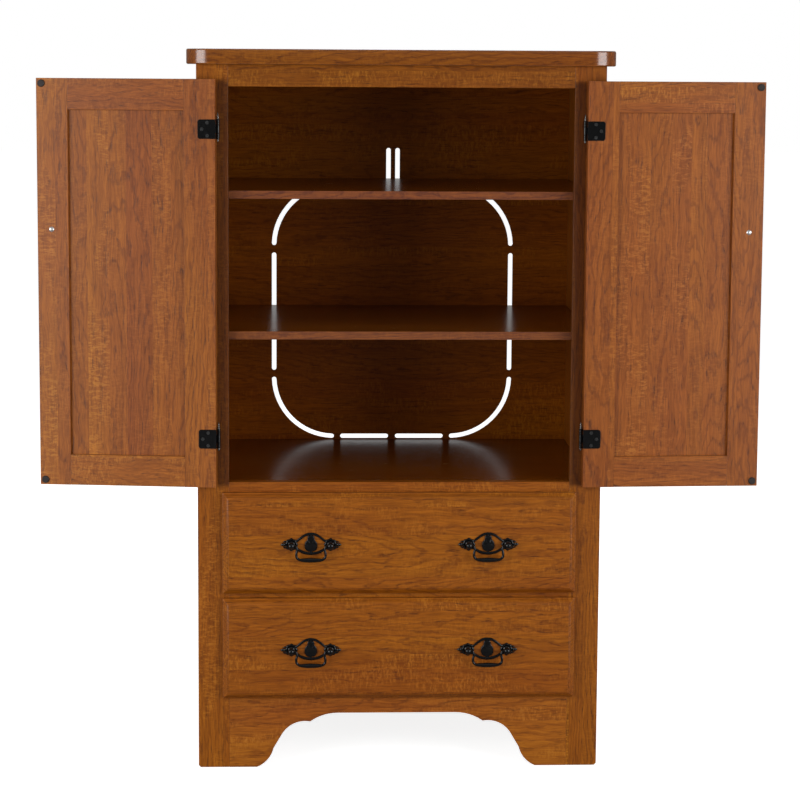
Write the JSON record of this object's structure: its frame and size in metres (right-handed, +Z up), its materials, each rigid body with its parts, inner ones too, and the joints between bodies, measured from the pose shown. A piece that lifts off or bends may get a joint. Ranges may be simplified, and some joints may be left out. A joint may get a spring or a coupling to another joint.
{
  "type": "armoire",
  "caption": "Free-standing armoire with two frame-and-panel doors folded open, shelves, a slotted back panel, overlay drawers with bail pulls and a scalloped apron.",
  "frame": {"origin": "on the floor, at the middle of the footprint of the whole model with its doors folded open", "axes": "+X to the viewer's right when facing the front, +Y to the back, +Z up"},
  "size_m": [1.4, 0.5452, 1.412],
  "materials": {
    "oak_face": "satin reddish-brown oak",
    "oak_door": "satin reddish-brown oak",
    "oak_shelf": "semi-gloss reddish-brown oak",
    "oak_back": "satin printed oak hardboard",
    "drawer_ply": "sealed pale plywood",
    "pine": "bare softwood",
    "black_iron": "black, slightly textured",
    "bright_steel": "zinc plated",
    "runner_steel": "off-white powder coat",
    "nylon": "matte nylon",
    "rubber": "matte dark brown",
    "glide_plastic": "matte black"
  },
  "bodies": {
    "cabinet": {"top_panel": "oak_face", "left_side_panel": "oak_face", "right_side_panel": "oak_face", "left_stile": "oak_face", "right_stile": "oak_face", "top_rail": "oak_face", "middle_rail": "oak_face", "drawer_divider_rail": "oak_face", "apron": "oak_face", "back_panel": "oak_back", "upper_shelf": "oak_shelf", "middle_shelf": "oak_shelf", "deck": "oak_shelf", "shelf_pins": "bright_steel", "cleats": "pine", "corner_blocks": "pine", "foot_glides": "glide_plastic", "runner_spacers": "pine", "cabinet_runners": "runner_steel", "hinge_frame_wings": "black_iron", "hinge_pins": "black_iron", "hinge_frame_screws": "black_iron"},
    "left_door": {"left_door_stiles": "oak_door", "left_door_rails": "oak_door", "left_door_panel": "oak_door", "left_door_hinge_leaves": "black_iron", "left_door_hinge_screws": "black_iron", "left_door_bumpers": "rubber", "left_door_knob": "black_iron", "left_door_knob_screw": "bright_steel"},
    "right_door": {"right_door_stiles": "oak_door", "right_door_rails": "oak_door", "right_door_panel": "oak_door", "right_door_hinge_leaves": "black_iron", "right_door_hinge_screws": "black_iron", "right_door_bumpers": "rubber", "right_door_knob": "black_iron", "right_door_knob_screw": "bright_steel"},
    "upper_drawer": {"upper_drawer_front": "oak_face", "upper_drawer_sides": "drawer_ply", "upper_drawer_ends": "drawer_ply", "upper_drawer_bottom": "drawer_ply", "upper_drawer_runners": "runner_steel", "upper_drawer_backplates": "black_iron", "upper_drawer_posts": "black_iron"},
    "lower_drawer": {"lower_drawer_front": "oak_face", "lower_drawer_sides": "drawer_ply", "lower_drawer_ends": "drawer_ply", "lower_drawer_bottom": "drawer_ply", "lower_drawer_runners": "runner_steel", "lower_drawer_backplates": "black_iron", "lower_drawer_posts": "black_iron"},
    "upper_left_bail": {"upper_left_bail": "black_iron"},
    "upper_right_bail": {"upper_right_bail": "black_iron"},
    "lower_left_bail": {"lower_left_bail": "black_iron"},
    "lower_right_bail": {"lower_right_bail": "black_iron"},
    "upper_cabinet_rollers": {"upper_cabinet_rollers": "nylon"},
    "lower_cabinet_rollers": {"lower_cabinet_rollers": "nylon"},
    "upper_drawer_rollers": {"upper_drawer_rollers": "nylon"},
    "lower_drawer_rollers": {"lower_drawer_rollers": "nylon"}
  },
  "joints": [
    {"name": "left_door_hinge", "type": "hinge", "parent": "cabinet", "child": "left_door", "pos_m": [-0.352, -0.2449, 0.96075], "axis": [0, 0, 1], "range_deg": [0, 186.5]},
    {"name": "right_door_hinge", "type": "hinge", "parent": "cabinet", "child": "right_door", "pos_m": [0.352, -0.2449, 0.96075], "axis": [0, 0, -1], "range_deg": [-4, 182.5]},
    {"name": "upper_drawer_slide", "type": "slide", "parent": "cabinet", "child": "upper_drawer", "axis": [0, -1, 0], "range_m": [0, 0.35]},
    {"name": "lower_drawer_slide", "type": "slide", "parent": "cabinet", "child": "lower_drawer", "axis": [0, -1, 0], "range_m": [0, 0.35]},
    {"name": "upper_left_bail_pivot", "type": "hinge", "parent": "upper_drawer", "child": "upper_left_bail", "pos_m": [-0.173, -0.2634, 0.454], "axis": [-1, 0, 0], "range_deg": [-8, 95]},
    {"name": "upper_right_bail_pivot", "type": "hinge", "parent": "upper_drawer", "child": "upper_right_bail", "pos_m": [0.173, -0.2634, 0.454], "axis": [-1, 0, 0], "range_deg": [-8, 95]},
    {"name": "lower_left_bail_pivot", "type": "hinge", "parent": "lower_drawer", "child": "lower_left_bail", "pos_m": [-0.173, -0.2634, 0.244], "axis": [-1, 0, 0], "range_deg": [-8, 95]},
    {"name": "lower_right_bail_pivot", "type": "hinge", "parent": "lower_drawer", "child": "lower_right_bail", "pos_m": [0.173, -0.2634, 0.244], "axis": [-1, 0, 0], "range_deg": [-8, 95]},
    {"name": "upper_cabinet_roller_spin", "type": "hinge", "parent": "cabinet", "child": "upper_cabinet_rollers", "pos_m": [0, -0.1944, 0.4205], "axis": [1, 0, 0], "continuous": true},
    {"name": "upper_drawer_roller_spin", "type": "hinge", "parent": "upper_drawer", "child": "upper_drawer_rollers", "pos_m": [0, 0.2166, 0.4185], "axis": [1, 0, 0], "continuous": true},
    {"name": "lower_cabinet_roller_spin", "type": "hinge", "parent": "cabinet", "child": "lower_cabinet_rollers", "pos_m": [0, -0.1944, 0.2105], "axis": [1, 0, 0], "continuous": true},
    {"name": "lower_drawer_roller_spin", "type": "hinge", "parent": "lower_drawer", "child": "lower_drawer_rollers", "pos_m": [0, 0.2166, 0.2085], "axis": [1, 0, 0], "continuous": true}
  ],
  "couplings": [
    {"joint": "upper_cabinet_roller_spin", "follows": "upper_drawer_slide", "rad_per_m": 90.909},
    {"joint": "upper_drawer_roller_spin", "follows": "upper_drawer_slide", "rad_per_m": 90.909},
    {"joint": "lower_cabinet_roller_spin", "follows": "lower_drawer_slide", "rad_per_m": 90.909},
    {"joint": "lower_drawer_roller_spin", "follows": "lower_drawer_slide", "rad_per_m": 90.909}
  ]
}
